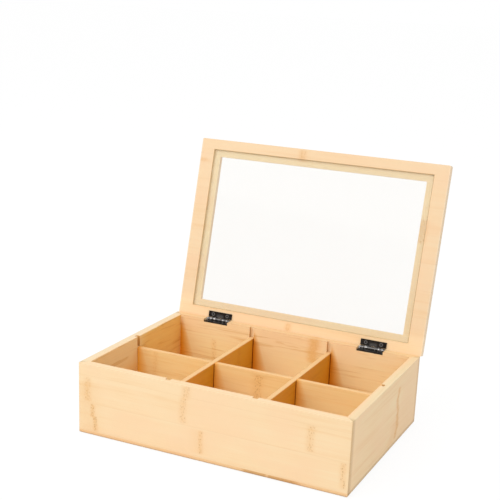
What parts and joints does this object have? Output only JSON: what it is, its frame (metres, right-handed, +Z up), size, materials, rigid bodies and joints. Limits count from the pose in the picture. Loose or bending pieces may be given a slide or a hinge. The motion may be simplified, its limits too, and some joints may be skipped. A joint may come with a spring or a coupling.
{
  "type": "tea bag organizer box",
  "caption": "Rectangular bamboo box for tea bags, with a grid of crossed dividers and a back-hinged lid that frames a clear window and stands open.",
  "frame": {"origin": "on the table, under the middle of the box's footprint", "axes": "+X to the right along the front wall, +Y from the front to the hinges at the back, +Z up"},
  "size_m": [0.3, 0.269, 0.2784],
  "materials": {
    "bamboo_walls": "satin clear lacquer",
    "bamboo_base": "satin clear lacquer",
    "bamboo_dividers": "satin clear lacquer",
    "bamboo_lid": "satin clear lacquer",
    "clear_pane": "clear polished acrylic",
    "black_steel": "glossy black"
  },
  "bodies": {
    "box": {"front_wall": "bamboo_walls", "back_wall": "bamboo_walls", "left_wall": "bamboo_walls", "right_wall": "bamboo_walls", "bottom_panel": "bamboo_base", "left_hinge_box_leaf": "black_steel", "left_hinge_pin": "black_steel", "left_hinge_box_screw_1": "black_steel", "left_hinge_box_screw_2": "black_steel", "right_hinge_box_leaf": "black_steel", "right_hinge_pin": "black_steel", "right_hinge_box_screw_1": "black_steel", "right_hinge_box_screw_2": "black_steel"},
    "lid": {"lid_frame": "bamboo_lid", "window_pane": "clear_pane", "left_hinge_lid_leaf": "black_steel", "left_hinge_lid_screw_1": "black_steel", "left_hinge_lid_screw_2": "black_steel", "right_hinge_lid_leaf": "black_steel", "right_hinge_lid_screw_1": "black_steel", "right_hinge_lid_screw_2": "black_steel"},
    "dividers": {"long_divider": "bamboo_dividers", "left_cross_divider": "bamboo_dividers", "right_cross_divider": "bamboo_dividers"}
  },
  "joints": [
    {"name": "lid_hinge", "type": "hinge", "parent": "box", "child": "lid", "pos_m": [0, 0.1048, 0.0763], "axis": [1, 0, 0], "range_deg": [0, 104]},
    {"name": "dividers_lift", "type": "slide", "parent": "box", "child": "dividers", "axis": [0, 0, 1], "range_m": [0, 0.011]}
  ]
}
